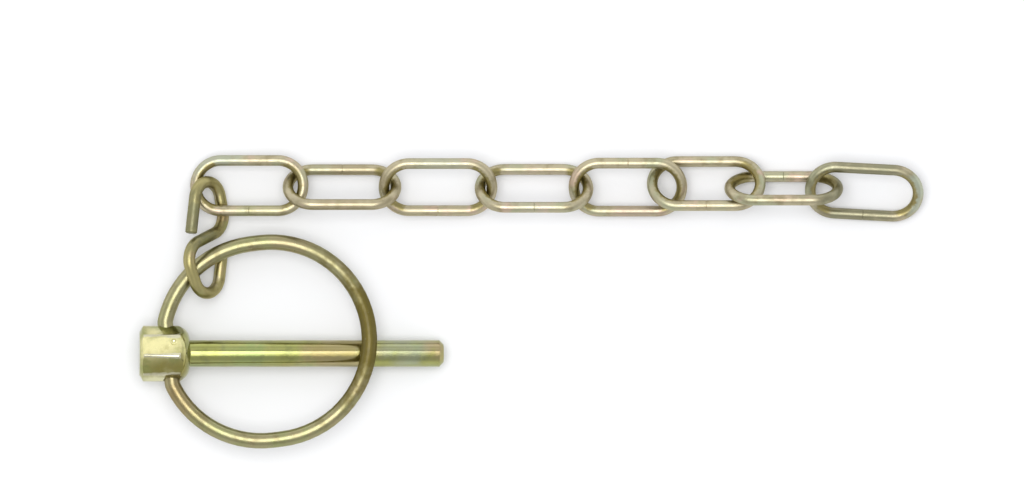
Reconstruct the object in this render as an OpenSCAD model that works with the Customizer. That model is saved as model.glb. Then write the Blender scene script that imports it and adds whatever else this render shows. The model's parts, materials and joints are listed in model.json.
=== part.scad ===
// Lynch pin with snap ring, S-hook and eight-link retaining chain.
// Millimetres. The origin is on the pin's axis where the head meets the shank, X runs along the pin
// towards its tip, Y towards the chain and Z up. The set lies at rest on a flat surface.

/* [Pin] */
// Diameter of the shank
shank_d = 4.5; // [4:0.1:5.5]
// Usable length, from the head to the tip
shank_l = 42.3; // [39:0.5:48]
// Length of the bevel at the tip
tip_bevel = 0.7; // [0.3:0.1:1]
// Length of the head, with its rounded shoulder
head_l = 8.4; // [7.6:0.1:10]
// Width of the eight-sided head across its flats
head_flats = 8.6; // [8:0.1:10]
// Length of the bevel round the head's end face
head_bevel = 0.7; // [0.3:0.1:1]
// Length over which the head rounds down to the shank
shoulder_l = 2.7; // [1.8:0.1:3]
// Distance of the ring's hole from the head's end face, on the pin's axis
hole_from_end = 4.9; // [4.2:0.1:5.4]
// Turn of the head's corners about the pin's axis, in degrees
head_turn = 9.5; // [0:0.5:22]
// Diameter of the small round punch mark on the head
punch_d = 0.9; // [0.6:0.1:1.2]

/* [Ring] */
// Outer width of the ring, across the pin
ring_od = 35.6; // [34:0.2:40]
// How much longer than wide the ring is, sprung open by its ends
ring_stretch = 1.5; // [1:0.1:2]
// Diameter of the ring's spring wire
ring_wire = 2.6; // [2.3:0.1:2.9]
// Radius of the bends where the wire turns into the head, to the middle of the wire
ring_bend = 2.4; // [2:0.1:3]
// Slant of the ring's hole to the square, which sets the ring off to one side, in degrees
ring_slant = 6.6; // [4:0.2:8]
// Gap between the two ends of the wire inside the head
ring_end_gap = 2; // [1:0.2:3]
// Clearance all round the wire in its hole
hole_clear = 0.12; // [0.08:0.01:0.2]

/* [S-hook] */
// Diameter of the hook's wire
hook_wire = 2; // [1.7:0.1:2.2]
// Outer length of the hook
hook_l = 20.5; // [19:0.5:23]
// Outer width of the hook
hook_w = 10.2; // [9.6:0.1:10.8]
// Radius of the rounded end of each loop, to the middle of the wire
hook_nose = 3; // [2.7:0.1:3.2]
// Radius of the bends between the legs and the diagonal, to the middle of the wire
hook_bend = 3.2; // [2.8:0.1:3.4]
// Distance from the middle of the hook to the widest point of a leg, along its length
hook_leg = 3.7; // [3.5:0.1:4.2]
// Gap between the open end, on the chain's side, and the bend below it
hook_gap = 0.4; // [0.3:0.1:0.9]
// Straight length of the shorter end, on the ring's side
hook_tip = 3.8; // [3:0.1:4.4]
// Splay of the hook's two straight ends, in degrees
hook_flare = 10.5; // [8:0.5:12]

/* [Chain] */
// Diameter of the chain's wire
link_wire = 1.8; // [1.6:0.1:2]
// Outer length of a link
link_l = 19.8; // [18.6:0.2:22]
// Outer width of a link
link_w = 10.2; // [9.8:0.1:11.4]
// Depth of the groove where the ends of a link's wire meet
seam_depth = 0.15; // [0.1:0.05:0.3]

/* [Lay] */
// Clearance between wires that lie on each other
lay_clear = 0.15; // [0.1:0.05:0.25]
// Place of the hook round the ring, from the direction of the pin's tip, in degrees
hook_place = 129; // [122:1:136]
// Tilt of the hook on its edge, in degrees
hook_tilt = 46.5; // [45:0.5:49]

/* [Hidden] */
$fn = 48;
LINKS = 8;

cut_margin = 1;
end_bevel = 0.2;
join_proud = 0.01;
collar_l = 0.2;

// Head and shank
shank_r = shank_d / 2;
head_r = head_flats / 2 / cos(180 / 8);
envelope_r = head_r + 0.1;
hole_x = hole_from_end - head_l;
hole_r = ring_wire / 2 + hole_clear;
arc_steps = 6;
punch_depth = punch_d / 6;
punch_r = (punch_d * punch_d / 4 + punch_depth * punch_depth) / (2 * punch_depth);
punch_x = -head_l / 3;
punch_off = head_flats / 14;

// Ring, in a flat frame of its own: Y is the line through its ends and X runs to its middle
ring_r = ring_wire / 2;
ring_mean = ring_od / 2 - ring_r;
bend_clear = 0.25;
bend_start = head_r + bend_clear;
ring_dip = let (b = 2 * (ring_mean - ring_bend)) (b - sqrt(b * b - 4 * bend_start * bend_start)) / 2;
ring_reach = ring_mean - ring_dip;
bend_angle = asin(bend_start / (ring_mean - ring_bend));

// Hook, in a flat frame of its own: Y is its length, X its width, and the middle is the origin. Each half
// is a straight end, a rounded nose, a straight side, a bend and half of the diagonal.
hook_r = hook_wire / 2;
hook_half = hook_w / 2 - hook_r;
hook_loop = hook_l / 2 - hook_r - hook_nose;
chain_nose = [0.5, hook_loop];
ring_nose = [0, hook_loop];
bend_at = [hook_half - hook_bend, hook_leg];
hook_turn = asin(hook_bend / norm(bend_at)) + atan2(bend_at[0], bend_at[1]);
diagonal_end = on_circle(bend_at, hook_bend, -hook_turn);

// The open end stops short of the other half's bend: tail_from is where its inner edge starts, seen from
// the middle of that bend
tail_dir = [cos(270 - hook_flare), sin(270 - hook_flare)];
tail_from = on_circle(chain_nose, hook_nose - hook_r, 180 - hook_flare) + bend_at;
tail_keep = hook_bend + hook_r + hook_gap;
tail_fall = -tail_from * tail_dir;
hook_tail = tail_fall - sqrt(max(0, tail_fall * tail_fall - tail_from * tail_from + tail_keep * tail_keep));

// Angle of the straight side that touches a nose and the bend below it
function side_angle(nose) = asin((hook_bend - hook_nose) / norm(nose - bend_at))
    - atan2(nose[0] - bend_at[0], nose[1] - bend_at[1]);

// Link, in a flat frame of its own: X is its length and Y its width
link_r = link_wire / 2;
link_half = link_w / 2 - link_r;
link_run = link_l / 2 - link_r - link_half;
seams = [-1, 1, -1, -1, 1, -1, 1, -1];

function on_circle(c, r, a) = c + r * [cos(a), sin(a)];
function turn_x(p, a) = [p[0], p[1] * cos(a) - p[2] * sin(a), p[1] * sin(a) + p[2] * cos(a)];
function turn_y(p, a) = [p[0] * cos(a) + p[2] * sin(a), p[1], p[2] * cos(a) - p[0] * sin(a)];
function turn_z(p, a) = [p[0] * cos(a) - p[1] * sin(a), p[0] * sin(a) + p[1] * cos(a), p[2]];

// The hook's lower loop sits a little inside the ring
hook_inset = 2;
hook_yaw = 1;

// The ring rests on the far end of the shank
ring_centre_y = ring_reach * sin(ring_slant);
ring_cross = (ring_reach + ring_stretch) * cos(ring_slant)
    + sqrt(ring_mean * ring_mean - ring_centre_y * ring_centre_y);
ring_lift = asin((shank_r + ring_r + lay_clear) / (ring_cross * cos(ring_slant)));

// The pin lies on a corner of its head and on its tip, and leans until the ring meets the hook's low leg
corner_x = -shoulder_l;
tip_x = shank_l - tip_bevel;
corner_off_plumb = 4;
head_rest = head_r * cos(corner_off_plumb);
pin_tilt = atan((head_rest - shank_r) / (tip_x - corner_x));
floor_z = -corner_x * sin(pin_tilt) - head_rest * cos(pin_tilt);
leg_x = (ring_mean - hook_inset) * cos(hook_place) + hook_half * cos(hook_tilt);
leg_reach = ring_centre_y + sqrt(ring_mean * ring_mean - leg_x * leg_x);
leg_rise = (ring_reach + leg_x) * sin(ring_lift - pin_tilt) - hole_x * sin(pin_tilt) - floor_z;
pin_lean = -asin((leg_rise - hook_wire - ring_r - 2 * lay_clear) / leg_reach);

function pin_point(p) = turn_y(turn_x(p, pin_lean), pin_tilt);
function ring_point(p) = pin_point([hole_x, 0, 0] + turn_z(turn_y(p, -ring_lift), ring_slant));

// The hook stands on its low leg, with the ring's wire through its lower loop
hook_seat = ring_point([
    ring_reach + (ring_mean - hook_inset) * cos(hook_place - ring_slant),
    (ring_mean - hook_inset) * sin(hook_place - ring_slant),
    0
]);
hook_from_loop = turn_z(turn_y([0, hook_loop, 0], hook_tilt), hook_yaw);
hook_at = [
    hook_seat[0] + hook_from_loop[0],
    hook_seat[1] + hook_from_loop[1],
    floor_z + hook_r + hook_half * sin(hook_tilt)
];

// The chain lies in a line, each link tilted on one side: roll about its length, pitch of its far end,
// play left in the joint before it, drift across the line and ride on its neighbours
link_roll = [-4, -46, 21, -41, 18, -29, -62, 24];
link_pitch = [4, 0, -0.5, -0.5, -0.5, 1, 0, 0];
link_yaw = [0, 0, 0, 0, 0, 0, 0, -3];
link_play = [0.75, 0.2, 0.2, 0.55, 3.15, 3.3, 2.75];
link_drift = [0, -0.25, -0.25, -0.45, -0.25, 0.35, -0.45, -1];
link_ride = [0, 0.05, 1.45, 0.1, 0.95, 0.75, 0.05, 0];
first_ride = 0.35;
first_reach = 2.5;
first_rise = 2.4;

hook_eye = hook_at + turn_z([0, hook_loop, 0], hook_yaw);
first_at = [
    hook_eye[0] + link_run + first_reach,
    hook_eye[1] + first_rise,
    floor_z + hook_wire + link_r + first_ride
];

function pitch_to(i) = link_l - 2 * link_wire - link_play[i - 1];
function link_x(i) = i == 0 ? first_at[0] : link_x(i - 1) + pitch_to(i);
function link_z(i) = i == 0 ? first_at[2]
    : floor_z + link_r + link_half * sin(abs(link_roll[i])) + link_ride[i];
function link_at(i) = [link_x(i), first_at[1] + link_drift[i], link_z(i)];

// Straight round bar along Z
module bar(r, l) {
    cylinder(r = r, h = l);
}

// Round wire bent about the origin in the XY plane, from one angle to another
module bend(radius, r, from, to) {
    rotate([0, 0, from])
        rotate_extrude(angle = to - from)
            translate([radius, 0]) circle(r = r);
}

// Straight wire in the XY plane from a point, in a direction given as an angle
module run(at, angle, l, r) {
    translate([at[0], at[1], 0]) rotate([0, 0, angle]) rotate([0, 90, 0]) bar(r, l);
}

// Short collar, hardly proud of the wire, that covers a join where the wire runs at the given angle
module collar(at, angle, r) {
    translate([at[0], at[1], 0]) rotate([0, 0, angle]) rotate([0, 90, 0])
        translate([0, 0, -collar_l / 2]) bar(r + join_proud, collar_l);
}

// Smooth swelling, hardly proud of the wire, that covers a join of two bends
module swelling(at, r) {
    translate([at[0], at[1], 0]) sphere(r = r + join_proud);
}

// Straight wire that ends in a small bevel, as a cropped end has
module cropped_run(at, angle, l, r) {
    translate([at[0], at[1], 0]) rotate([0, 0, angle]) rotate([0, 90, 0]) {
        bar(r, l - end_bevel);
        translate([0, 0, l - end_bevel]) cylinder(r1 = r, r2 = r - end_bevel, h = end_bevel);
    }
}

module in_pin_frame() {
    rotate([0, pin_tilt, 0]) rotate([pin_lean, 0, 0]) children();
}

module in_ring_frame() {
    in_pin_frame() translate([hole_x, 0, 0]) rotate([0, 0, ring_slant]) rotate([0, -ring_lift, 0])
        children();
}

// Outline of the head's turned envelope: radius against distance from the end face
function head_outline() = concat(
    [[0, 0], [envelope_r - 1.6 * head_bevel, 0], [envelope_r, head_bevel],
     [envelope_r, head_l - shoulder_l]],
    [for (k = [1:arc_steps]) let (a = 90 * k / arc_steps)
        [shank_r + (envelope_r - shank_r) * cos(a), head_l - shoulder_l + shoulder_l * sin(a)]],
    [[0, head_l]]
);

module head() {
    translate([-head_l, 0, 0]) rotate([0, 90, 0]) intersection() {
        rotate([0, 0, head_turn]) cylinder(r = head_r, h = head_l, $fn = 8);
        rotate_extrude() polygon(head_outline());
    }
}

module shank() {
    rotate([0, 90, 0]) {
        translate([0, 0, -shoulder_l / 2]) bar(shank_r, shank_l + shoulder_l / 2 - tip_bevel);
        translate([0, 0, shank_l - tip_bevel])
            cylinder(r1 = shank_r, r2 = shank_r - tip_bevel, h = tip_bevel);
    }
}

module ring_hole() {
    translate([hole_x, 0, 0]) rotate([0, 0, ring_slant]) rotate([-90, 0, 0])
        translate([0, 0, -head_r - cut_margin]) bar(hole_r, 2 * (head_r + cut_margin));
}

// Round mark of a punch, on the flat of the head that faces up
module punch_mark() {
    rotate([head_turn - 22.5, 0, 0])
        translate([punch_x, punch_off, head_flats / 2 + punch_r - punch_depth]) sphere(r = punch_r);
}

// Pin: head and shank are one forged and turned piece
module pin() {
    color([0.62, 0.63, 0.33]) in_pin_frame() difference() {
        union() {
            head();
            shank();
        }
        ring_hole();
        punch_mark();
    }
}

// One side of the ring, from its end in the hole through the head to the far half
module ring_side() {
    run([0, ring_end_gap / 2], 90, bend_start - ring_end_gap / 2, ring_r);
    translate([ring_bend, bend_start, 0]) bend(ring_bend, ring_r, 180 - bend_angle, 180);
    swelling(on_circle([ring_reach, 0], ring_mean, 180 - bend_angle), ring_r);
    translate([ring_reach, 0, 0]) bend(ring_mean, ring_r, 90, 180 - bend_angle);
    run([ring_reach, ring_mean], 0, ring_stretch, ring_r);
}

// Ring: one length of spring wire, both ends turned in to the hole through the head
module ring() {
    color([0.66, 0.66, 0.33]) in_ring_frame() {
        translate([ring_reach + ring_stretch, 0, 0]) bend(ring_mean, ring_r, -90, 90);
        ring_side();
        mirror([0, 1, 0]) ring_side();
    }
}

// One half of the hook, from its straight end of the given length to the diagonal
module hook_half_wire(nose, end_l) {
    side = side_angle(nose);
    side_top = on_circle(nose, hook_nose, side);
    side_foot = on_circle(bend_at, hook_bend, side);
    end_top = on_circle(nose, hook_nose, 180 - hook_flare);
    cropped_run(end_top, 270 - hook_flare, end_l, hook_r);
    translate(nose) bend(hook_nose, hook_r, side, 180 - hook_flare);
    run(side_top, side - 90, norm(side_top - side_foot), hook_r);
    translate(bend_at) bend(hook_bend, hook_r, -hook_turn, side);
    collar(end_top, 90 - hook_flare, hook_r);
    for (join = [side_top, side_foot]) collar(join, side + 90, hook_r);
    collar(diagonal_end, 90 - hook_turn, hook_r);
}

// S-hook: one length of wire bent to two loops
module s_hook() {
    color([0.45, 0.40, 0.22]) translate(hook_at) rotate([0, 0, hook_yaw]) rotate([0, hook_tilt, 0]) {
        hook_half_wire(chain_nose, hook_tail);
        run(-diagonal_end, 90 - hook_turn, 2 * norm(diagonal_end), hook_r);
        rotate([0, 0, 180]) hook_half_wire(ring_nose, hook_tip);
    }
}

// V-shaped groove round one side of a link, where the wire's ends meet
module seam(side) {
    translate([0, side * link_half, 0]) rotate([0, 90, 0]) rotate_extrude()
        polygon([[link_r - seam_depth, 0], [link_r + seam_depth, 2 * seam_depth],
                 [link_r + seam_depth, -2 * seam_depth]]);
}

module link(seam_side) {
    difference() {
        union() {
            for (end = [0, 180]) rotate([0, 0, end]) {
                translate([link_run, 0, 0]) bend(link_half, link_r, -90, 90);
                run([link_run, link_half], 180, 2 * link_run, link_r);
            }
        }
        seam(seam_side);
    }
}

// Chain link, counted from the hook
module chain_link(i) {
    color(i % 2 == 0 ? [0.70, 0.68, 0.52] : [0.66, 0.60, 0.44])
        translate(link_at(i)) rotate([0, 0, link_yaw[i]]) rotate([0, -link_pitch[i], 0])
            rotate([link_roll[i], 0, 0]) link(seams[i]);
}

pin();
ring();
s_hook();
for (i = [0:LINKS - 1])
    chain_link(i);
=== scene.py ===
"""Looks of a lynch pin with its snap ring, S-hook and eight-link chain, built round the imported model."""

import json
import logging
import math
from dataclasses import dataclass, field
from enum import Enum
from typing import Iterable, Sequence

import bmesh
import bpy
import numpy as np
from mathutils import Matrix, Vector

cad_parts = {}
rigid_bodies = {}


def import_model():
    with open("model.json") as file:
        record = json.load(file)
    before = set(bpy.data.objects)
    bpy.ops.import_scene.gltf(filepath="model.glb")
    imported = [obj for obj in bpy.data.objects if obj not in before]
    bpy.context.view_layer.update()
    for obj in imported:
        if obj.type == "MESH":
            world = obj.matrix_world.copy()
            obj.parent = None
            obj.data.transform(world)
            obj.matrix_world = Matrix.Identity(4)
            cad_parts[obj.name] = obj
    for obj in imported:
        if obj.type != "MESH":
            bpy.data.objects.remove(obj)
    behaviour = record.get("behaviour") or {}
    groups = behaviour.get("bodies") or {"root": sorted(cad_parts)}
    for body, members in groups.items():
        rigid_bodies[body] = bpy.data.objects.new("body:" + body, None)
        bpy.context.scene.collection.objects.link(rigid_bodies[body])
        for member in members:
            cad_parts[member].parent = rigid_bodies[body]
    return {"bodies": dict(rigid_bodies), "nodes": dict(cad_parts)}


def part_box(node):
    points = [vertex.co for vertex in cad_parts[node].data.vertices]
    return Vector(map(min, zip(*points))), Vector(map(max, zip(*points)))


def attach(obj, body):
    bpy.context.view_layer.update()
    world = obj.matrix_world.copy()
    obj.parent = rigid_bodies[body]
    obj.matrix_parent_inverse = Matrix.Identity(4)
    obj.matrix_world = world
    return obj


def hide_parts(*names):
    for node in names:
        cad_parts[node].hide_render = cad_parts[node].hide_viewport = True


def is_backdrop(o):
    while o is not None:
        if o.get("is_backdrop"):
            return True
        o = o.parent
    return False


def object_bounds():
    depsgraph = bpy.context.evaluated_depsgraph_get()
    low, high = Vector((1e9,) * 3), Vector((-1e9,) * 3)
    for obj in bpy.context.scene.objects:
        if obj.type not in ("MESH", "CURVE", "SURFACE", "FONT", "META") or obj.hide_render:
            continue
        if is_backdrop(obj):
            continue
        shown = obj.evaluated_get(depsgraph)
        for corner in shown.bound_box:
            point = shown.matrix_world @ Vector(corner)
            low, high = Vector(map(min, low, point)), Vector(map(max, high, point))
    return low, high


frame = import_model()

RGB = tuple[float, float, float]
Point = tuple[float, float, float]
Socket = bpy.types.NodeSocket

MM = 0.001
FLATS = 8  # of the pin's head
HALF_FLAT = 180 / FLATS  # degrees from the middle of a flat to a corner
WIRE_CREASE = 40  # degrees between faces, from which a wire's edge stays sharp
BAR = "bar"  # attribute: a point's place on the straight bar, before it was bent
RUB_OR_SHADE = "rub_or_shade"  # attribute: how much a place is rubbed, or, on the chain's links, marked for painted shade, from 0 to 1

log = logging.getLogger("lynch_pin")


class Turn(Enum):
    """The way a bend goes, seen with the flat frame's Z towards the eye."""

    LEFT = 1
    RIGHT = -1


class Seam(Enum):
    """The long side of a link on which its wire's ends meet."""

    NEAR = -1
    FAR = 1


# ---- Small helpers for modelling with operators ----


def deselect_all() -> None:
    """Deselects every object."""
    for obj in bpy.context.selected_objects:
        obj.select_set(False)


def make_active(obj: bpy.types.Object) -> None:
    """Selects one object alone and makes it the active one."""
    deselect_all()
    obj.select_set(True)
    bpy.context.view_layer.objects.active = obj


def begin_edit(obj: bpy.types.Object, mode: str = "FACE") -> None:
    """Opens an object's mesh for editing, with everything selected.

    Args:
        obj: The object to edit.
        mode: VERT, EDGE or FACE, what is selected.
    """
    make_active(obj)
    bpy.ops.object.mode_set(mode="EDIT")
    bpy.ops.mesh.select_mode(type=mode)
    bpy.ops.mesh.select_all(action="SELECT")


def end_edit() -> None:
    """Goes back to object mode."""
    bpy.ops.object.mode_set(mode="OBJECT")


def close_shell(obj: bpy.types.Object, merge: float = 1e-7) -> None:
    """Merges doubled points and turns all faces outwards.

    Args:
        obj: The object whose mesh is finished.
        merge: Distance below which points are one, in metres.
    """
    begin_edit(obj, "VERT")
    bpy.ops.mesh.remove_doubles(threshold=merge)
    bpy.ops.mesh.select_all(action="SELECT")
    bpy.ops.mesh.normals_make_consistent(inside=False)
    end_edit()


def apply_modifier(obj: bpy.types.Object, kind: str, **settings: object) -> None:
    """Adds a modifier, sets it and applies it.

    Args:
        obj: The object that gets it.
        kind: Blender's name of the modifier's type.
        **settings: The modifier's values by name.
    """
    make_active(obj)
    modifier = obj.modifiers.new(kind.title(), kind)
    for key, value in settings.items():
        setattr(modifier, key, value)
    bpy.ops.object.modifier_apply(modifier=modifier.name)


def smooth(obj: bpy.types.Object, angle: float) -> None:
    """Shades an object smooth, but for edges sharper than an angle in degrees."""
    make_active(obj)
    bpy.ops.object.shade_smooth_by_angle(angle=math.radians(angle))


def mesh_points(obj: bpy.types.Object) -> np.ndarray:
    """Gives a mesh's points as rows of x, y and z."""
    points = np.empty(len(obj.data.vertices) * 3)
    obj.data.vertices.foreach_get("co", points)
    return points.reshape(-1, 3)


def store(obj: bpy.types.Object, name: str, values: np.ndarray) -> None:
    """Stores one number or one vector for each of a mesh's points.

    Args:
        obj: The object whose mesh gets the attribute.
        name: The attribute's name.
        values: One row for each point, of one or three numbers.
    """
    if values.ndim == 1:
        obj.data.attributes.new(name, "FLOAT", "POINT").data.foreach_set("value", values.astype(np.float32))
    else:
        layer = obj.data.attributes.new(name, "FLOAT_VECTOR", "POINT")
        layer.data.foreach_set("vector", values.astype(np.float32).ravel())


@dataclass(frozen=True)
class Place:
    """Where a piece lies: its origin in millimetres and its turns in degrees, the outermost turn first."""

    at: Point
    turns: tuple[tuple[str, float], ...]

    def matrix(self) -> Matrix:
        """Gives the place as a matrix in metres."""
        result = Matrix.Translation(Vector(self.at) * MM)
        for axis, degrees in self.turns:
            result = result @ Matrix.Rotation(math.radians(degrees), 4, axis)
        return result

    def put(self, obj: bpy.types.Object) -> None:
        """Moves a mesh that was built in its own flat frame to its place."""
        obj.data.transform(self.matrix())
        obj.data.update()


# ---- Wire, bent as on a bending jig ----


@dataclass(frozen=True)
class Straight:
    """A straight length of wire, in millimetres."""

    length: float


@dataclass(frozen=True)
class Bend:
    """A bend to a radius at the wire's middle in millimetres, through an angle in degrees."""

    radius: float
    angle: float
    turn: Turn = Turn.LEFT


Move = Straight | Bend


@dataclass(frozen=True)
class Leg:
    """One move of a wire with the place, direction and length run at its start.

    A point less than the slack, in radians, before a bend counts as before it, not as behind its end.
    """

    move: Move
    start: np.ndarray
    heading: float
    run: float
    slack: float = 0.3

    @property
    def along(self) -> np.ndarray:
        """Gives the direction of the wire at the start."""
        return np.array([math.cos(self.heading), math.sin(self.heading)])

    @property
    def left(self) -> np.ndarray:
        """Gives the direction to the left of the wire at the start."""
        return np.array([-math.sin(self.heading), math.cos(self.heading)])

    @property
    def centre(self) -> np.ndarray:
        """Gives the centre of a bend."""
        return self.start + self.left * self.move.radius * MM * self.move.turn.value

    @property
    def length(self) -> float:
        """Gives the length of the leg along the wire's middle, in metres."""
        if isinstance(self.move, Straight):
            return self.move.length * MM
        return self.move.radius * MM * math.radians(self.move.angle)

    def locate(self, flat: np.ndarray) -> tuple[np.ndarray, np.ndarray]:
        """Finds points of the flat frame along this leg.

        Args:
            flat: Points as rows of x and y.

        Returns:
            How far along the leg each point is, and how far it is to the left of the wire's middle.
        """
        if isinstance(self.move, Straight):
            away = flat - self.start
            return away @ self.along, away @ self.left
        way = self.move.turn.value
        away = flat - self.centre
        first = self.start - self.centre
        angle = way * (np.arctan2(away[:, 1], away[:, 0]) - math.atan2(first[1], first[0]))
        angle = np.mod(angle + self.slack, 2 * math.pi) - self.slack
        radius = self.move.radius * MM
        return angle * radius, way * (radius - np.hypot(away[:, 0], away[:, 1]))

    def end(self) -> tuple[np.ndarray, float]:
        """Gives the place and direction at the leg's end."""
        if isinstance(self.move, Straight):
            return self.start + self.along * self.length, self.heading
        way = self.move.turn.value
        heading = self.heading + way * math.radians(self.move.angle)
        left = np.array([-math.sin(heading), math.cos(heading)])
        return self.centre - left * self.move.radius * MM * way, heading


@dataclass
class BentWire:
    """A round wire bent in a plane, closed by a flat bevelled face at each end.

    The wire is drawn out from a disc with extrude for straights and spin for bends. Sizes are in millimetres,
    and the heading and the step from ring to ring of a bend in degrees.
    """

    name: str
    diameter: float
    start: tuple[float, float]
    heading: float
    moves: Sequence[Move]
    bevel: float = 0.2
    sides: int = 36
    step: float = 5.0
    straight_step: float = 1.2
    legs: list[Leg] = field(default_factory=list)

    def __post_init__(self) -> None:
        """Lays the moves end to end."""
        at, heading, run = np.array(self.start) * MM, math.radians(self.heading), 0.0
        for move in self.moves:
            leg = Leg(move, at, heading, run)
            self.legs.append(leg)
            at, heading = leg.end()
            run += leg.length

    def build(self) -> bpy.types.Object:
        """Models the wire in its flat frame.

        Returns:
            The wire's object, with its place on the bar stored for each point.
        """
        bevel = self.bevel * MM
        radius = self.diameter / 2 * MM
        tip = radius - bevel
        first, last = self.legs[0], self.legs[-1]
        deselect_all()
        bpy.ops.mesh.primitive_circle_add(
            vertices=self.sides,
            radius=tip,
            fill_type="NGON",
            location=(*first.start, 0),
            rotation=(math.pi / 2, 0, first.heading + math.pi / 2),
        )
        obj = bpy.context.object
        obj.name = obj.data.name = self.name
        bpy.ops.object.transform_apply(location=True, rotation=True, scale=True)
        begin_edit(obj)
        self._draw(first.heading, bevel)
        self._widen(radius / tip)
        for leg in self.legs:
            if isinstance(leg.move, Bend):
                self._bend(leg)
            else:
                outer = leg is first or leg is last
                self._straight(leg, leg.length - bevel if outer else leg.length)
        self._draw(last.end()[1], bevel)
        self._widen(tip / radius)
        end_edit()
        close_shell(obj)
        store(obj, BAR, self.unbend(mesh_points(obj)))
        return obj

    def length(self) -> float:
        """Gives the length of the wire in metres."""
        return self.legs[-1].run + self.legs[-1].length

    def unbend(self, points: np.ndarray) -> np.ndarray:
        """Finds the place of points on the bar before it was bent.

        Args:
            points: Points of the flat frame as rows of x, y and z.

        Returns:
            Rows of the distance to the left, the height and the distance along the bar.
        """
        best = np.full(len(points), np.inf)
        bar = np.zeros_like(points)
        for leg in self.legs:
            along, aside = leg.locate(points[:, :2])
            beyond = np.maximum(0, np.maximum(-along, along - leg.length))
            gap = np.hypot(beyond, np.hypot(aside, points[:, 2]))
            nearer = gap < best - 1e-9
            best[nearer] = gap[nearer]
            bar[nearer] = np.stack([aside, points[:, 2], leg.run + along], 1)[nearer]
        return bar

    def _draw(self, heading: float, length: float) -> None:
        """Draws the selected end out by a length in metres, towards a heading in radians."""
        way = (length * math.cos(heading), length * math.sin(heading), 0)
        bpy.ops.mesh.extrude_region_move(TRANSFORM_OT_translate={"value": way})

    def _widen(self, factor: float) -> None:
        """Scales the selected end about its own middle."""
        mesh = bmesh.from_edit_mesh(bpy.context.edit_object.data)
        points = [v.co for v in mesh.verts if v.select]
        middle = sum(points, Vector()) / len(points)
        bpy.ops.transform.resize(value=(factor,) * 3, center_override=middle)

    def _straight(self, leg: Leg, length: float) -> None:
        """Draws the selected end out straight, in a few steps."""
        steps = max(1, round(length / (self.straight_step * MM)))
        way = leg.along * length / steps
        for _ in range(steps):
            bpy.ops.mesh.extrude_region_move(TRANSFORM_OT_translate={"value": (*way, 0)})

    def _bend(self, leg: Leg) -> None:
        """Spins the selected end round a bend's centre."""
        bpy.ops.mesh.spin(
            steps=max(2, round(leg.move.angle / self.step)),
            angle=math.radians(leg.move.angle),
            center=(*leg.centre, 0),
            axis=(0, 0, -leg.move.turn.value),
        )


# ---- Finishes ----


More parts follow.
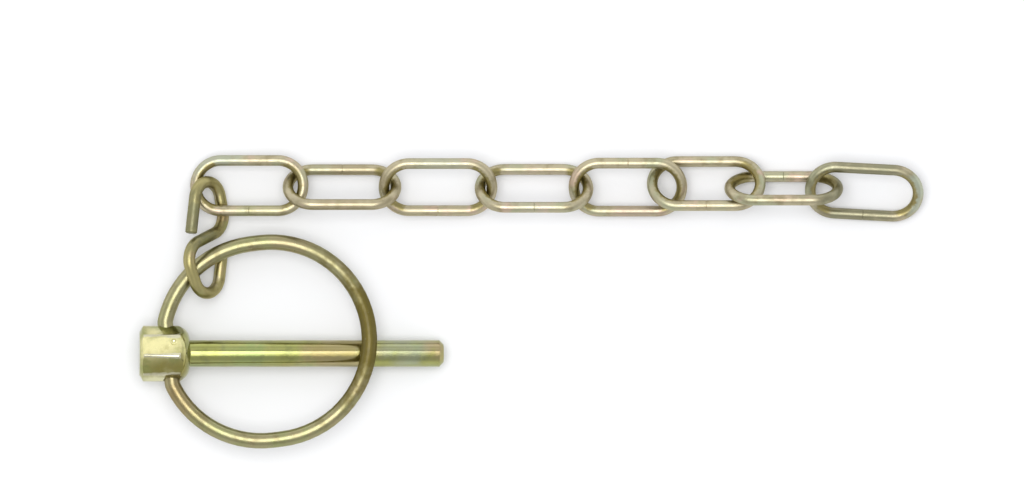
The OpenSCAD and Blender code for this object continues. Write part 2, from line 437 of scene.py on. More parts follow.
class NodeSheet:
    """A node tree that is filled step by step from left to right."""

    SPACING = 190

    def __init__(self, tree: bpy.types.NodeTree) -> None:
        """Takes the tree to fill."""
        self.tree = tree

    def add(self, kind: str, label: str = "", **values: object) -> bpy.types.Node:
        """Adds a node.

        Args:
            kind: The node's type, without the leading ShaderNode where it has one.
            label: What the node is for.
            **values: Properties of the node by name.

        Returns:
            The new node.
        """
        node = self.tree.nodes.new(kind if kind.startswith("Node") else "ShaderNode" + kind)
        node.label = label
        node.location = (len(self.tree.nodes) * self.SPACING, 0)
        for key, value in values.items():
            setattr(node, key, value)
        return node

    def join(self, source: Socket, target: Socket) -> None:
        """Links an output to an input."""
        self.tree.links.new(source, target)

    def feed(self, slot: Socket, value: Socket | float | Point) -> None:
        """Gives an input its value.

        Args:
            slot: The input.
            value: A socket to link to it, or a number, a colour or a vector.
        """
        if isinstance(value, Socket):
            self.join(value, slot)
        else:
            slot.default_value = (*value, 1) if slot.type == "RGBA" else value

    def noise(self, vector: Socket, scale: float, detail: float, rough: float = 0.5,
              label: str = "") -> Socket:
        """Adds a noise texture.

        Args:
            vector: The place that the noise is read at.
            scale: How fine the noise is, in waves to the metre.
            detail: How many finer layers it has.
            rough: How strong the finer layers are.
            label: What the noise is for.

        Returns:
            The noise's value.
        """
        node = self.add("TexNoise", label)
        node.inputs["Scale"].default_value = scale
        node.inputs["Detail"].default_value = detail
        node.inputs["Roughness"].default_value = rough
        self.join(vector, node.inputs["Vector"])
        return node.outputs["Fac"]

    def mapped(self, vector: Socket, scale: Point = (1, 1, 1), shift: Point = (0, 0, 0)) -> Socket:
        """Adds a node that scales and shifts a vector.

        Args:
            vector: The vector to change.
            scale: The factor for each axis.
            shift: What is added on each axis.

        Returns:
            The changed vector.
        """
        node = self.add("Mapping")
        node.inputs["Scale"].default_value = scale
        node.inputs["Location"].default_value = shift
        self.join(vector, node.inputs["Vector"])
        return node.outputs["Vector"]

    def window(self, value: Socket, low: float, high: float, to_low: float = 0.0, to_high: float = 1.0,
               label: str = "") -> Socket:
        """Adds a node that maps a range of values smoothly to another.

        Args:
            value: The value to map.
            low: The range's lower end.
            high: The range's upper end.
            to_low: What the lower end becomes.
            to_high: What the upper end becomes.
            label: What the result is.

        Returns:
            The mapped value.
        """
        node = self.add("MapRange", label, interpolation_type="SMOOTHSTEP")
        for name, number in (("From Min", low), ("From Max", high), ("To Min", to_low), ("To Max", to_high)):
            node.inputs[name].default_value = number
        self.join(value, node.inputs["Value"])
        return node.outputs["Result"]

    def combine(self, first: Socket, second: Socket | float, operation: str = "ADD") -> Socket:
        """Adds a node that reckons with two values.

        Args:
            first: The first value.
            second: The second value, a socket or a number.
            operation: Blender's name of the operation.

        Returns:
            The result.
        """
        node = self.add("Math", operation=operation)
        self.join(first, node.inputs[0])
        self.feed(node.inputs[1], second)
        return node.outputs["Value"]

    def blend(self, mask: Socket, under: Socket | RGB, over: Socket | RGB, label: str = "") -> Socket:
        """Adds a node that mixes two colours.

        Args:
            mask: How much of the upper colour shows, from 0 to 1.
            under: The lower colour, a socket or a constant.
            over: The upper colour, a socket or a constant.
            label: What the mix is.

        Returns:
            The mixed colour.
        """
        node = self.add("Mix", label, data_type="RGBA")
        self.join(mask, node.inputs["Factor"])
        for value, slot in zip((under, over), node.inputs[6:8]):
            self.feed(slot, value)
        return node.outputs[2]


class Effect:
    """A shader node group that several finishes share."""

    def __init__(self, name: str, takes: dict[str, str], gives: dict[str, str]) -> None:
        """Makes an empty group.

        Args:
            name: The group's name.
            takes: The inputs' names and socket types.
            gives: The outputs' names and socket types.
        """
        self.tree = bpy.data.node_groups.new(name, "ShaderNodeTree")
        for socket, kind in takes.items():
            self.tree.interface.new_socket(name=socket, in_out="INPUT", socket_type="NodeSocket" + kind)
        for socket, kind in gives.items():
            self.tree.interface.new_socket(name=socket, in_out="OUTPUT", socket_type="NodeSocket" + kind)
        self.sheet = NodeSheet(self.tree)
        self.source = self.sheet.add("NodeGroupInput").outputs
        self.target = self.sheet.add("NodeGroupOutput").inputs

    def place(self, sheet: NodeSheet, **values: object) -> bpy.types.Node:
        """Puts the group in a finish.

        Args:
            sheet: The finish's nodes.
            **values: Numbers, colours, vectors or sockets for the group's inputs.

        Returns:
            The group node.
        """
        node = sheet.add("Group", self.tree.name, node_tree=self.tree)
        for key, value in values.items():
            sheet.feed(node.inputs[key], value)
        return node


class Effects:
    """The effects that the finishes share."""

    def __init__(self) -> None:
        """Builds each group once."""
        self.film = self._film()
        self.lines = self._lines()
        self.wear_or_shade = self._wear_and_shade()
        self.stain_or_light = self._stain_or_light()

    @staticmethod
    def _film() -> Effect:
        """Makes the chromate film, whose tint drifts between four colours."""
        effect = Effect(
            "chromate_film",
            {"Vector": "Vector", "Ground": "Color", "Green": "Color", "Rose": "Color", "Smoke": "Color",
             "Tint": "Float"},
            {"Color": "Color", "Cloud": "Float"},
        )
        sheet, source = effect.sheet, effect.source
        vector = source["Vector"]
        cloud = sheet.noise(vector, scale=150, detail=3, rough=0.55, label="broad cloud")
        green = sheet.window(cloud, low=0.50, high=0.66, label="green areas")
        beside = sheet.mapped(vector, shift=(0.31, 0.17, 0.05))
        rose = sheet.window(sheet.noise(beside, scale=210, detail=3, rough=0.6, label="rose cloud"),
                            low=0.54, high=0.68, label="rose areas")
        beyond = sheet.mapped(vector, shift=(0.07, 0.43, 0.21))
        smoke = sheet.window(sheet.noise(beyond, scale=420, detail=4, rough=0.6, label="smoke cloud"),
                             low=0.48, high=0.72, label="smoky areas")
        colour = source["Ground"]
        for areas, tint in ((green, "Green"), (rose, "Rose"), (smoke, "Smoke")):
            colour = sheet.blend(sheet.combine(areas, source["Tint"], "MULTIPLY"), colour, source[tint])
        sheet.join(colour, effect.target["Color"])
        sheet.join(cloud, effect.target["Cloud"])
        return effect

    @staticmethod
    def _lines() -> Effect:
        """Makes the fine lines that a drawing die leaves along a bar."""
        effect = Effect("drawn_lines", {"Bar": "Vector", "Density": "Float"}, {"Height": "Float"})
        sheet, source = effect.sheet, effect.source
        spread = sheet.add("VectorMath", operation="SCALE")
        sheet.join(source["Bar"], spread.inputs[0])
        sheet.join(source["Density"], spread.inputs["Scale"])
        long_way = sheet.mapped(spread.outputs["Vector"], scale=(1, 1, 0.02))
        lines = sheet.noise(long_way, scale=1, detail=3, rough=0.65, label="die lines")
        sheet.join(lines, effect.target["Height"])
        return effect

    @staticmethod
    def _stain_or_light() -> Effect:
        """Makes the mask of a stain, or of a painted highlight, reflection or shade, with a cloudy edge."""
        takes = {"Vector": "Vector", "Middle": "Vector", "Radius": "Float", "Strength": "Float"}
        effect = Effect("film_stain_or_light", takes, {"Mask": "Float"})
        sheet, source = effect.sheet, effect.source
        away = sheet.add("VectorMath", "distance from the middle", operation="DISTANCE")
        sheet.join(source["Vector"], away.inputs[0])
        sheet.join(source["Middle"], away.inputs[1])
        share = sheet.combine(away.outputs["Value"], source["Radius"], "DIVIDE")
        cloud = sheet.noise(source["Vector"], scale=330, detail=3, rough=0.6, label="cloudy edge")
        edge = sheet.window(cloud, low=0.3, high=0.7, to_low=-0.25, to_high=0.25)
        inside = sheet.window(sheet.combine(share, edge), low=0.35, high=1.1, to_low=1.0, to_high=0.0,
                              label="inside the stain")
        sheet.join(sheet.combine(inside, source["Strength"], "MULTIPLY"), effect.target["Mask"])
        return effect

    @staticmethod
    def _wear_and_shade() -> Effect:
        """Makes rubbed spots, which on the chain's links stand for painted shade, and small nicks."""
        effect = Effect("handling_wear_and_shade", {"Vector": "Vector", "Rub": "Float", "Amount": "Float"},
                        {"WornOrShaded": "Float", "Nicks": "Float"})
        sheet, source = effect.sheet, effect.source
        grain = sheet.noise(source["Vector"], scale=1500, detail=3, rough=0.6, label="breakup")
        # Rubbed spots: real wear on the pin, ring and hook, and painted shade on the chain's links.
        rubbed = sheet.combine(sheet.combine(source["Rub"], source["Amount"], "MULTIPLY"), grain)
        sheet.join(sheet.window(rubbed, low=0.62, high=1.05, label="rubbed through or shaded"), effect.target["WornOrShaded"])
        aside = sheet.mapped(source["Vector"], shift=(0.9, 0.2, 0.4))
        pits = sheet.noise(aside, scale=2600, detail=2, label="nicks")
        sheet.join(sheet.window(pits, low=0.20, high=0.36, label="nick floors"), effect.target["Nicks"])
        return effect


@dataclass(frozen=True)
class StainOrLight:
    """A place that gets another colour, with its middle and size in millimetres: a stain of the film, or a
    painted highlight, painted reflection or painted shade.

    Strength says how much of the colour comes through, and matt how much duller the place is.
    """

    at: Point
    radius: float
    colour: RGB
    strength: float = 0.8
    matt: float = 0.0


@dataclass(frozen=True)
class ZincFinish:
    """Yellow chromate over zinc: its ground colour, the tints of its film, its gloss and its wear, which on
    the chain's links is painted shade.

    Depths and radius are in millimetres. A radius above 0 rubs an eight-sided bar's corners beyond it.
    """

    name: str
    ground: RGB
    green: RGB
    rose: RGB
    smoke: RGB
    # Colour of rubbed places; the chain's is dark, a painted shade where its links hang in each other.
    bare_or_shade: RGB = (0.52, 0.50, 0.40)
    rim: RGB = (0.80, 0.78, 0.62)
    tint: float = 0.8
    gloss: float = 0.22
    dull: float = 0.40
    line_density: float = 9000.0
    line_depth: float = 0.006
    nick_depth: float = 0.008
    wear_or_shade: float = 0.55
    lacquer: float = 0.2
    lacquer_rough: float = 0.12
    lacquer_ior: float = 1.9
    corner_radius: float = 0.0
    corner_fade: float = 0.1
    stains_and_lights: tuple[StainOrLight, ...] = ()

    def make(self, effects: Effects) -> bpy.types.Material:
        """Builds the material.

        Args:
            effects: The shared effects.

        Returns:
            The new material.
        """
        material = bpy.data.materials.new(self.name)
        material.use_nodes = True
        tree = material.node_tree
        shader = tree.nodes["Principled BSDF"]
        sheet = NodeSheet(tree)
        place = sheet.add("TexCoord").outputs["Object"]
        bar = sheet.add("Attribute", "place on the bar", attribute_name=BAR).outputs["Vector"]
        rub_or_shade = self._corners(sheet, bar) if self.corner_radius else sheet.add(
            "Attribute", "rubbed or shaded places", attribute_name=RUB_OR_SHADE).outputs["Fac"]
        film = effects.film.place(sheet, Vector=place, Ground=self.ground, Green=self.green,
                                  Rose=self.rose, Smoke=self.smoke, Tint=self.tint)
        wear_or_shade = effects.wear_or_shade.place(sheet, Vector=place, Rub=rub_or_shade, Amount=self.wear_or_shade)
        lines = effects.lines.place(sheet, Bar=bar, Density=self.line_density)
        fine = sheet.noise(place, scale=1100, detail=4, rough=0.6, label="gloss breakup")
        rough = sheet.window(fine, low=0.3, high=0.7, to_low=self.gloss, to_high=self.dull, label="roughness")
        colour = film.outputs["Color"]
        for stain_or_light in self.stains_and_lights:
            mask = effects.stain_or_light.place(
                sheet, Vector=place, Middle=tuple(v * MM for v in stain_or_light.at), Radius=stain_or_light.radius * MM,
                Strength=stain_or_light.strength).outputs["Mask"]
            colour = sheet.blend(mask, colour, stain_or_light.colour, "stain_or_light")
            if stain_or_light.matt:
                rough = sheet.combine(rough, sheet.combine(mask, stain_or_light.matt, "MULTIPLY"))
        # Rubbed places take the bare colour: wear, and on the chain's links painted shade.
        colour = sheet.blend(wear_or_shade.outputs["WornOrShaded"], colour, self.bare_or_shade, "film rubbed thin or shaded")
        lacquer = sheet.window(film.outputs["Cloud"], low=0.3, high=0.7, to_low=0.5 * self.lacquer,
                               to_high=self.lacquer, label="film gloss")
        normal = self._bump(sheet, lines.outputs["Height"], self.line_depth, "die lines")
        normal = self._bump(sheet, wear_or_shade.outputs["Nicks"], self.nick_depth, "nicks", normal)
        sheet.join(colour, shader.inputs["Base Color"])
        sheet.join(rough, shader.inputs["Roughness"])
        sheet.join(lacquer, shader.inputs["Coat Weight"])
        sheet.join(normal, shader.inputs["Normal"])
        shader.inputs["Metallic"].default_value = 1.0
        shader.inputs["Specular Tint"].default_value = (*self.rim, 1)
        shader.inputs["Coat Roughness"].default_value = self.lacquer_rough
        shader.inputs["Coat IOR"].default_value = self.lacquer_ior
        return material

    @staticmethod
    def _bump(sheet: NodeSheet, height: Socket, depth: float, label: str,
              normal: Socket | None = None) -> Socket:
        """Adds a bump.

        Args:
            sheet: The material's nodes.
            height: The height, from 0 to 1.
            depth: What a height of 1 is, in millimetres.
            label: What the bump is.
            normal: The normal of the bump under it, if there is one.

        Returns:
            The new normal.
        """
        node = sheet.add("Bump", label)
        node.inputs["Distance"].default_value = depth * MM
        sheet.join(height, node.inputs["Height"])
        if normal:
            sheet.join(normal, node.inputs["Normal"])
        return node.outputs["Normal"]

    def _corners(self, sheet: NodeSheet, bar: Socket) -> Socket:
        """Finds an eight-sided bar's corners, which are rubbed.

        Args:
            sheet: The material's nodes.
            bar: The place on the bar.

        Returns:
            A value from 0 to 1.
        """
        across = sheet.add("VectorMath", "distance from the axis", operation="LENGTH")
        sheet.join(sheet.mapped(bar, scale=(1, 1, 0)), across.inputs[0])
        start, end = self.corner_radius * MM, (self.corner_radius + self.corner_fade) * MM
        return sheet.window(across.outputs["Value"], start, end, label="rubbed corners")


class Finishes:
    """The finishes of this set, one for each kind of piece."""

    def __init__(self) -> None:
        """Builds the materials."""
        effects = Effects()
        self.pin = ZincFinish(
            "pin_yellow_zinc_look", ground=(0.27, 0.28, 0.05), green=(0.19, 0.26, 0.03),
            rose=(0.36, 0.31, 0.09), smoke=(0.17, 0.18, 0.025), bare_or_shade=(0.55, 0.52, 0.34),
            tint=0.7, gloss=0.13, dull=0.22, lacquer=1.0, line_depth=0.001, corner_radius=4.5,
            stains_and_lights=(
                StainOrLight((25, 0, 1), 7, (0.30, 0.23, 0.07), 0.8, 0.05),
                StainOrLight((36, 1, 1), 5, (0.26, 0.28, 0.20), 0.55),
                StainOrLight((42, 1, 1), 3.5, (0.34, 0.24, 0.12), 0.7),
                # Painted highlight on the head's top flat, which faces the lamps.
                StainOrLight((-5, 1.8, 5.2), 4.6, (0.76, 0.70, 0.33), 0.95),
                # Painted shade on the head's flat between its top and its near side.
                StainOrLight((-4, -3.0, 3.0), 4.2, (0.25, 0.21, 0.02), 0.9),
                # Painted reflection of the bright floor on the head's flat that faces the near side.
                StainOrLight((-4.8, -4.7, 0.4), 3.6, (0.72, 0.71, 0.42), 0.9),
            ),
        ).make(effects)
        self.ring = ZincFinish(
            "ring_yellow_zinc_look", ground=(0.29, 0.27, 0.14), green=(0.24, 0.27, 0.10),
            rose=(0.29, 0.24, 0.13), smoke=(0.19, 0.16, 0.07),
            tint=0.7, gloss=0.27, dull=0.38, line_depth=0.003,
            stains_and_lights=(
                StainOrLight((30, 3, 2), 15, (0.14, 0.11, 0.02), 0.95, 0.30),
                StainOrLight((-1, -8, 0), 8, (0.24, 0.17, 0.07), 0.6),
            ),
        ).make(effects)
        self.hook = ZincFinish(
            "hook_yellow_zinc_look", ground=(0.33, 0.29, 0.12), green=(0.26, 0.28, 0.10),
            rose=(0.38, 0.28, 0.15), smoke=(0.18, 0.145, 0.06), bare_or_shade=(0.40, 0.35, 0.22),
            tint=0.8, gloss=0.28, dull=0.42, wear_or_shade=0.4,
            stains_and_lights=(StainOrLight((0, 22, 1), 6, (0.17, 0.17, 0.09), 0.8, 0.2),),
        ).make(effects)
        self.chain = ZincFinish(
            "chain_yellow_zinc_look", ground=(0.43, 0.38, 0.25), green=(0.33, 0.35, 0.22),
            # A dark rubbed colour: painted shade on the links' inner round ends, where they hang in each
            # other.
            rose=(0.50, 0.37, 0.28), smoke=(0.26, 0.22, 0.12), bare_or_shade=(0.25, 0.21, 0.08),
            tint=0.8, gloss=0.32, dull=0.46, wear_or_shade=0.7,
            stains_and_lights=(
                StainOrLight((112.5, 27, 0), 12, (0.21, 0.20, 0.12), 0.85),
                StainOrLight((57, 24, -3), 8, (0.50, 0.41, 0.33), 0.7),
                StainOrLight((4, 32, -1), 6, (0.36, 0.39, 0.29), 0.8),
                # Painted highlight with a bluish film tint: the last link's right end is painted pale.
                StainOrLight((120, 26, 0), 4.5, (0.45, 0.49, 0.38), 0.9),
                StainOrLight((26, 28, 0), 9, (0.33, 0.28, 0.17), 0.8),
                StainOrLight((74, 24, -3), 6, (0.42, 0.33, 0.24), 0.8),
                StainOrLight((41, 32, 0), 6, (0.38, 0.39, 0.29), 0.7),
                StainOrLight((12, 24, -3), 6, (0.40, 0.40, 0.22), 0.7),
            ),
        ).make(effects)


# ---- Sub-assemblies ----


PIN_PLACE = Place((0, 0, 0), (("Y", 3.09194), ("X", -5.44449)))  # of the pin, and of the ring in its hole
HOLE_SLANT = 6.6  # degrees between the ring's hole and a line square to the shank


def hand_over(piece: bpy.types.Object, node: str, material: bpy.types.Material) -> None:
    """Dresses a piece, lets it stand for its node and reports how well it fits.

    Args:
        piece: The finished piece.
        node: The node and body that it stands for.
        material: Its finish.
    """
    piece.data.materials.clear()
    piece.data.materials.append(material)
    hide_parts(node)
    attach(piece, node)
    points = mesh_points(piece)
    low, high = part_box(node)
    off = max(np.abs(points.min(0) - np.array(low)).max(), np.abs(points.max(0) - np.array(high)).max())
    log.info("%s: %d faces, off its node's box by %.3f mm", piece.name, len(piece.data.polygons), off / MM)


@dataclass
class Pin:
    """The pin: an eight-sided head, turned down at its shoulder, and a round shank.

    Sizes are in millimetres, and turns and angles in degrees.
    """

    shank_d: float = 4.5
    shank_l: float = 42.3
    tip_bevel: float = 0.7
    head_l: float = 8.4
    head_flats: float = 8.6
    head_bevel: float = 0.7
    bevel_slope: float = 1.6
    shoulder_l: float = 2.7
    hole_from_end: float = 4.9
    head_turn: float = 9.5
    punch_d: float = 0.9
    hole_d: float = 2.84
    hole_slant: float = HOLE_SLANT
    drill_overrun: float = 1.4
    envelope_extra: float = 0.1
    shoulder_steps: int = 16
    turned_steps: int = 96
    neck: float = 0.12
    neck_proud: float = 0.02
    arris: float = 0.14
    arris_angle: float = 28
    crease: float = 24
    place: Place = PIN_PLACE

    def profile(self) -> list[tuple[float, float]]:
        """Gives the turned outline from the head's end to the tip: places along the axis with their radii."""
        shank = self.shank_d / 2
        envelope = self.head_flats / 2 / math.cos(math.radians(HALF_FLAT)) + self.envelope_extra
        face = envelope - self.bevel_slope * self.head_bevel
        points = [(-self.head_l, 0.0), (-self.head_l, face), (-self.head_l + self.head_bevel, envelope)]
        for k in range(self.shoulder_steps):
            angle = math.radians(90 * k / self.shoulder_steps)
            radius = shank + (envelope - shank) * math.cos(angle)
            points.append((-self.shoulder_l + self.shoulder_l * math.sin(angle), radius))
        points += [(0.0, shank + self.neck_proud), (self.neck, shank), (self.shank_l - self.tip_bevel, shank),
                   (self.shank_l, shank - self.tip_bevel), (self.shank_l, 0.0)]
        return points

    def _turn(self) -> bpy.types.Object:
        """Turns the outline on the X axis.

        Returns:
            The turned bar, closed.
        """
        outline = self.profile()
        deselect_all()
        bpy.ops.mesh.primitive_plane_add(size=MM, location=(outline[0][0] * MM, 0, 0))
        obj = bpy.context.object
        obj.name = obj.data.name = "pin_body"
        bpy.ops.object.transform_apply(location=True, rotation=True, scale=True)
        begin_edit(obj, "VERT")
        bpy.ops.mesh.merge(type="CENTER")
        for (x0, r0), (x1, r1) in zip(outline, outline[1:]):
            way = ((x1 - x0) * MM, (r1 - r0) * MM, 0)
            bpy.ops.mesh.extrude_region_move(TRANSFORM_OT_translate={"value": way})
        bpy.ops.mesh.select_all(action="SELECT")
        bpy.ops.mesh.spin(steps=self.turned_steps, angle=2 * math.pi, center=(0, 0, 0), axis=(1, 0, 0))
        end_edit()
        close_shell(obj, 1e-6)
        return obj

    def _mill_flats(self, obj: bpy.types.Object) -> None:
        """Cuts the head's flats with bisecting planes."""
        for k in range(FLATS):
            angle = math.radians(HALF_FLAT - self.head_turn + 360 / FLATS * k)
            normal = Vector((0, math.sin(angle), math.cos(angle)))
            begin_edit(obj)
            bpy.ops.mesh.bisect(plane_co=normal * self.head_flats / 2 * MM, plane_no=normal, use_fill=True,
                                clear_outer=True)
            end_edit()

    def _cutter(self) -> bpy.types.Object:
        """Makes the drill for the ring's hole."""
        reach, bore = self.head_flats / 2 + self.drill_overrun, self.hole_d / 2
        deselect_all()
        bpy.ops.mesh.primitive_cylinder_add(vertices=64, radius=bore * MM, depth=2 * reach * MM)
        obj = bpy.context.object
        slant = Matrix.Rotation(math.radians(self.hole_slant), 4, "Z")
        middle = Matrix.Translation(((self.hole_from_end - self.head_l) * MM, 0, 0))
        obj.data.transform(middle @ (slant @ Matrix.Rotation(-math.pi / 2, 4, "X")))
        return obj

    def _punch(self) -> bpy.types.Object:
        """Makes the ball that leaves the punch mark."""
        depth = self.punch_d / 6
        radius = (self.punch_d ** 2 / 4 + depth ** 2) / (2 * depth)
        deselect_all()
        bpy.ops.mesh.primitive_uv_sphere_add(segments=48, ring_count=24, radius=radius * MM)
        obj = bpy.context.object
        at = Vector((-self.head_l / 3, self.head_flats / 14, self.head_flats / 2 + radius - depth)) * MM
        lean = Matrix.Rotation(math.radians(self.head_turn - HALF_FLAT), 4, "X")
        obj.data.transform(lean @ Matrix.Translation(at))
        return obj

    def build(self, finishes: Finishes) -> None:
        """Models the pin and dresses it in its own finish.

        Args:
            finishes: The set's finishes.
        """
        obj = self._turn()
        self._mill_flats(obj)
        apply_modifier(obj, "BEVEL", width=self.arris * MM, segments=3, limit_method="ANGLE",
                       angle_limit=math.radians(self.arris_angle))
        for tool in (self._cutter(), self._punch()):
            apply_modifier(obj, "BOOLEAN", object=tool, operation="DIFFERENCE", solver="EXACT")
            bpy.data.objects.remove(tool)
        smooth(obj, self.crease)
        store(obj, BAR, mesh_points(obj)[:, [1, 2, 0]])
        self.place.put(obj)
        hand_over(obj, "pin", finishes.pin)


@dataclass
class SnapRing:
    """The spring ring whose two ends turn in to the hole through the head. Sizes in millimetres."""

    wire: float = 2.6
    mean: float = 16.5
    stretch: float = 1.5
    bend: float = 2.4
    bend_angle: float = 20.3541
    bend_start: float = 4.90429
    end_gap: float = 2.0
    place: Place = PIN_PLACE
    hole_x: float = -3.5
    slant: float = HOLE_SLANT
    lift: float = 6.40122
    rub_reach: float = 6.0
    rub_most: float = 0.8

    def path(self) -> BentWire:
        """Lays out the wire from its end on the far side of the head, round to the other end."""
        stub = Straight(self.bend_start - self.end_gap / 2)
        into = Bend(self.bend, self.bend_angle, Turn.RIGHT)
        side = Bend(self.mean, 90 - self.bend_angle, Turn.RIGHT)
        flank = Straight(self.stretch)
        far = Bend(self.mean, 180, Turn.RIGHT)
        moves = (stub, into, side, flank, far, flank, side, into, stub)
        return BentWire("snap_ring", self.wire, (0, self.end_gap / 2), 90, moves)

    def build(self, finishes: Finishes) -> None:
        """Models the ring and dresses it in its own finish.

        Args:
            finishes: The set's finishes.
        """
        wire = self.path()
        obj = wire.build()
        smooth(obj, WIRE_CREASE)
        bar = wire.unbend(mesh_points(obj))
        middle = np.abs(bar[:, 2] - wire.length() / 2) / MM
        under = np.clip(-bar[:, 1] / (self.wire / 2 * MM), 0, 1)
        store(obj, RUB_OR_SHADE, np.clip(1 - middle / self.rub_reach, 0, 1) * under * self.rub_most)
        Place((self.hole_x, 0, 0), (("Z", self.slant), ("Y", -self.lift))).put(obj)
        self.place.put(obj)
        hand_over(obj, "ring", finishes.ring)


@dataclass
class SHook:
    """The S-hook between ring and chain, one length of wire bent to two loops. Sizes in millimetres."""

    wire: float = 2.0
    loop: float = 6.25
    nose: float = 3.0
    bend: float = 3.2
    bend_at: tuple[float, float] = (0.9, 3.7)
    turn: float = 70.8496
    flare: float = 10.5
    tail: float = 6.13691
    tip: float = 3.8
    chain_nose_x: float = 0.5
    chain_side: float = 13.3589
    ring_side: float = 23.6815
    rub_or_shade_start: float = 2.6
    rub_or_shade_fade: float = 0.6
    place: Place = Place((2.70928, 19.3314, -0.516522), (("Z", 1.0), ("Y", 46.5)))

    def _side_length(self, nose_x: float) -> float:
        """Gives the length of the straight side between a nose and the bend below it."""
        dx, dy = nose_x - self.bend_at[0], self.loop - self.bend_at[1]
        return math.sqrt(dx * dx + dy * dy - (self.bend - self.nose) ** 2)

    def path(self) -> BentWire:
        """Lays out the wire from the open end on the chain's side to the short end on the ring's."""
        turn = math.radians(self.turn)
        diagonal = 2 * math.hypot(self.bend_at[0] + self.bend * math.cos(turn),
                                  self.bend_at[1] - self.bend * math.sin(turn))
        moves = (
            Straight(self.tail),
            Bend(self.nose, 180 - self.flare - self.chain_side, Turn.RIGHT),
            Straight(self._side_length(self.chain_nose_x)),
            Bend(self.bend, self.chain_side + self.turn, Turn.RIGHT),
            Straight(diagonal),
            Bend(self.bend, self.ring_side + self.turn, Turn.LEFT),
            Straight(self._side_length(0.0)),
            Bend(self.nose, 180 - self.flare - self.ring_side, Turn.LEFT),
            Straight(self.tip),
        )
        top = math.radians(180 - self.flare)
        heading = math.radians(90 - self.flare)
        start = (self.chain_nose_x + self.nose * math.cos(top) - self.tail * math.cos(heading),
                 self.loop + self.nose * math.sin(top) - self.tail * math.sin(heading))
        return BentWire("s_hook_wire", self.wire, start, 90 - self.flare, moves, step=6.0)

    def build(self, finishes: Finishes) -> None:
        """Models the hook and dresses it in its own finish.

        Args:
            finishes: The set's finishes.
        """
        obj = self.path().build()
        smooth(obj, WIRE_CREASE)
        rub_or_shade = np.zeros(len(obj.data.vertices))
        points = mesh_points(obj)
        for x, y in ((self.chain_nose_x, self.loop), (0.0, -self.loop)):
            away = np.hypot(points[:, 0] / MM - x, points[:, 1] / MM - y)
            rub_or_shade = np.maximum(rub_or_shade, np.clip((self.rub_or_shade_start - away) / self.rub_or_shade_fade, 0, 1))
        store(obj, RUB_OR_SHADE, rub_or_shade)
        self.place.put(obj)
        hand_over(obj, "s_hook", finishes.hook)


@dataclass
class ChainLink:
    """One long link of the chain, whose wire's ends meet on one side. Sizes in millimetres."""

    number: int
    seam: Seam
    place: Place
    wire: float = 1.8
    half_width: float = 4.2
    half_run: float = 4.8
    seam_gap: float = 0.006
    seam_bevel: float = 0.045
    rub_or_shade_start: float = 4.5
    rub_or_shade_fade: float = 0.9
    shade_ease: float = 1.5

    def path(self) -> BentWire:
        """Lays out the wire from one end at the seam round to the other."""
        side = self.seam.value
        half = Straight(self.half_run - self.seam_gap / 2)
        round_end = Bend(self.half_width, 180, Turn.LEFT if side < 0 else Turn.RIGHT)
        moves = (half, round_end, Straight(2 * self.half_run), round_end, half)
        start = (self.seam_gap / 2, side * self.half_width)
        return BentWire(f"link_{self.number}", self.wire, start, 0.0, moves, bevel=self.seam_bevel, sides=32)

    def build(self, finishes: Finishes) -> None:
        """Models the link and dresses it in the chain's finish.

        Args:
            finishes: The set's finishes.
        """
        obj = self.path().build()
        smooth(obj, WIRE_CREASE)
        points = mesh_points(obj) / MM
        # Painted shade: the inner side of each round end, where the next link hangs in it, is marked for the
        # dark rubbed colour.
        away = np.hypot(np.abs(points[:, 0]) - self.half_run, points[:, 1])
        inner = np.clip((self.rub_or_shade_start - away) / self.rub_or_shade_fade, 0, 1)
        inner *= np.clip((np.abs(points[:, 0]) - self.half_run) / self.shade_ease, 0, 1)
        store(obj, RUB_OR_SHADE, inner)
        self.place.put(obj)
        hand_over(obj, f"chain_link_{self.number}", finishes.chain)


@dataclass
class Chain:
    """The chain of eight links as it lies, counted from the hook."""

    centres: tuple[Point, ...] = (
        (9.9002, 27.9805, -1.24056), (25.3502, 27.7305, -0.519329), (41.3502, 27.7305, -0.635411),
        (57.3502, 27.5305, -0.735109), (73.0002, 27.7305, -1.34269), (86.0502, 28.3305, -0.804356),
        (98.9502, 27.5305, 0.167823), (112.4, 26.9805, -1.88226),
    )
    yaws: tuple[float, ...] = (0, 0, 0, 0, 0, 0, 0, -3)
    pitches: tuple[float, ...] = (4, 0, -0.5, -0.5, -0.5, 1, 0, 0)
    rolls: tuple[float, ...] = (-4, -46, 21, -41, 18, -29, -62, 24)
    seams: tuple[Seam, ...] = (
        Seam.NEAR, Seam.FAR, Seam.NEAR, Seam.NEAR, Seam.FAR, Seam.NEAR, Seam.FAR, Seam.NEAR,
    )

    def links(self) -> Iterable[ChainLink]:
        """Gives the links one by one."""
        for k, centre in enumerate(self.centres):
            place = Place(centre, (("Z", self.yaws[k]), ("Y", -self.pitches[k]), ("X", self.rolls[k])))
            yield ChainLink(k + 1, self.seams[k], place)

    def build(self, finishes: Finishes) -> None:
        """Models all links and dresses them in the chain's finish."""
        for link in self.links():
            link.build(finishes)


# ---- Studio ----


@dataclass(frozen=True)
class SoftBox:
    """A rectangular lamp: where it hangs and points to, its width and depth, in metres, and its watts."""

    name: str
    at: Point
    towards: Point
    size: tuple[float, float]
    power: float
    colour: RGB = (1.0, 1.0, 1.0)

    def hang(self) -> None:
        """Adds the lamp to the scene."""
        data = bpy.data.lights.new(self.name, "AREA")
        data.shape = "RECTANGLE"
        data.size, data.size_y = self.size
        data.energy = self.power
        data.color = self.colour
        lamp = bpy.data.objects.new(self.name, data)
        lamp.location = self.at
        lamp.rotation_euler = (Vector(self.towards) - Vector(self.at)).to_track_quat("-Z", "Y").to_euler()
        bpy.context.scene.collection.objects.link(lamp)


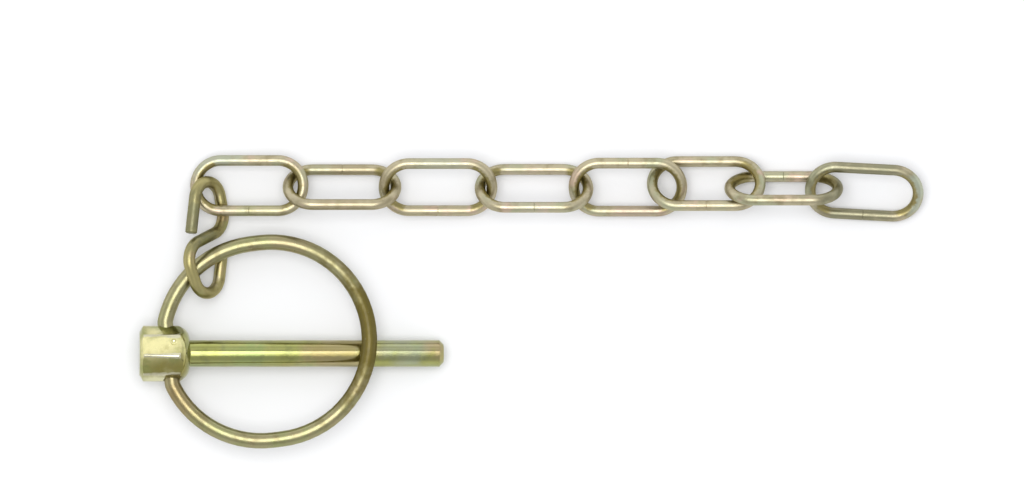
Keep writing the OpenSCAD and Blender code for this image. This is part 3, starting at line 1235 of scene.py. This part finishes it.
@dataclass
class Studio:
    """The pale floor, the soft lamps and the camera that looks straight down.

    Lengths are in metres. The camera sees the view's width at the view's level. The sky's light goes from its
    first value, away from the lean, to its second, towards it, and the walls from their first value at the
    horizon to their second above their top.
    """

    floor_size: float = 3.0
    view_middle: tuple[float, float] = (0.05368, 0.01692)
    view_width: float = 0.17067
    view_height: float = 2.6
    view_level: float = -0.001
    sensor_mm: float = 36.0
    clip_end: float = 20.0
    sky_lean: Point = (-0.35, 0.94, 0.0)
    sky_colour: RGB = (0.97, 0.98, 1.0)
    sky_light: tuple[float, float] = (0.82, 1.18)
    sky_walls: tuple[float, float] = (1.5, 0.85)
    walls_top: float = 0.65
    floor_shades: tuple[RGB, RGB] = ((0.78, 0.78, 0.79), (0.80, 0.80, 0.805))
    floor_roughness: float = 0.9
    floor_shine: float = 0.1
    lamps: tuple[SoftBox, ...] = (
        SoftBox("key_softbox", (0.0, 0.02, 0.60), (0.04, 0.015, 0), (0.44, 0.36), 2.1),
        SoftBox("far_softbox", (-0.02, 0.42, 0.50), (0.04, 0.015, 0), (0.50, 0.14), 0.08),
    )

    def _floor(self) -> None:
        """Lays the floor at the lowest point of the set."""
        low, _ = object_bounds()
        deselect_all()
        bpy.ops.mesh.primitive_plane_add(size=self.floor_size, location=(*self.view_middle, low[2]))
        floor = bpy.context.object
        floor.name = floor.data.name = "studio_floor"
        material = bpy.data.materials.new("pale_floor")
        material.use_nodes = True
        sheet = NodeSheet(material.node_tree)
        shader = material.node_tree.nodes["Principled BSDF"]
        place = sheet.add("TexCoord").outputs["Object"]
        shade = sheet.window(sheet.noise(place, scale=3, detail=2), low=0.3, high=0.7, label="paper shade")
        sheet.join(sheet.blend(shade, *self.floor_shades), shader.inputs["Base Color"])
        shader.inputs["Roughness"].default_value = self.floor_roughness
        shader.inputs["Specular IOR Level"].default_value = self.floor_shine
        floor.data.materials.append(material)
        floor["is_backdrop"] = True

    def _sky(self) -> None:
        """Sets the soft light from all round, a little brighter from the far left."""
        world = bpy.data.worlds.new("studio_sky")
        world.use_nodes = True
        back = world.node_tree.nodes["Background"]
        back.inputs["Color"].default_value = (*self.sky_colour, 1)
        sheet = NodeSheet(world.node_tree)
        way = sheet.add("TexCoord").outputs["Generated"]
        lean = sheet.add("VectorMath", "brighter from the far left", operation="DOT_PRODUCT")
        lean.inputs[1].default_value = self.sky_lean
        sheet.join(way, lean.inputs[0])
        height = sheet.add("SeparateXYZ")
        sheet.join(way, height.inputs["Vector"])
        side = sheet.window(lean.outputs["Value"], -1, 1, *self.sky_light)
        low = sheet.window(height.outputs["Z"], 0, self.walls_top, *self.sky_walls, "pale walls all round")
        sheet.join(sheet.combine(side, low, "MULTIPLY"), back.inputs["Strength"])
        bpy.context.scene.world = world

    def _camera(self) -> None:
        """Sets the long lens over the middle of the view."""
        data = bpy.data.cameras.new("top_camera")
        data.sensor_width = self.sensor_mm
        data.lens = self.sensor_mm * self.view_height / self.view_width
        data.clip_end = self.clip_end
        camera = bpy.data.objects.new("top_camera", data)
        camera.location = (*self.view_middle, self.view_level + self.view_height)
        bpy.context.scene.collection.objects.link(camera)
        bpy.context.scene.camera = camera

    def build(self) -> None:
        """Sets up floor, light and camera."""
        self._floor()
        self._sky()
        for lamp in self.lamps:
            lamp.hang()
        self._camera()
        bpy.context.scene.view_settings.view_transform = "Standard"


def clear_leftovers() -> None:
    """Removes what a new scene starts with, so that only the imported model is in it."""
    kept = set(frame["nodes"].values()) | set(frame["bodies"].values())
    for obj in list(bpy.data.objects):
        if obj not in kept:
            bpy.data.objects.remove(obj)


def main() -> None:
    """Builds the set and the studio."""
    logging.basicConfig(level=logging.INFO, format="%(name)s: %(message)s")
    clear_leftovers()
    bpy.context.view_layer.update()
    finishes = Finishes()
    for part in (Pin(), SnapRing(), SHook(), Chain()):
        part.build(finishes)
    Studio().build()


if __name__ == "__main__":
    main()
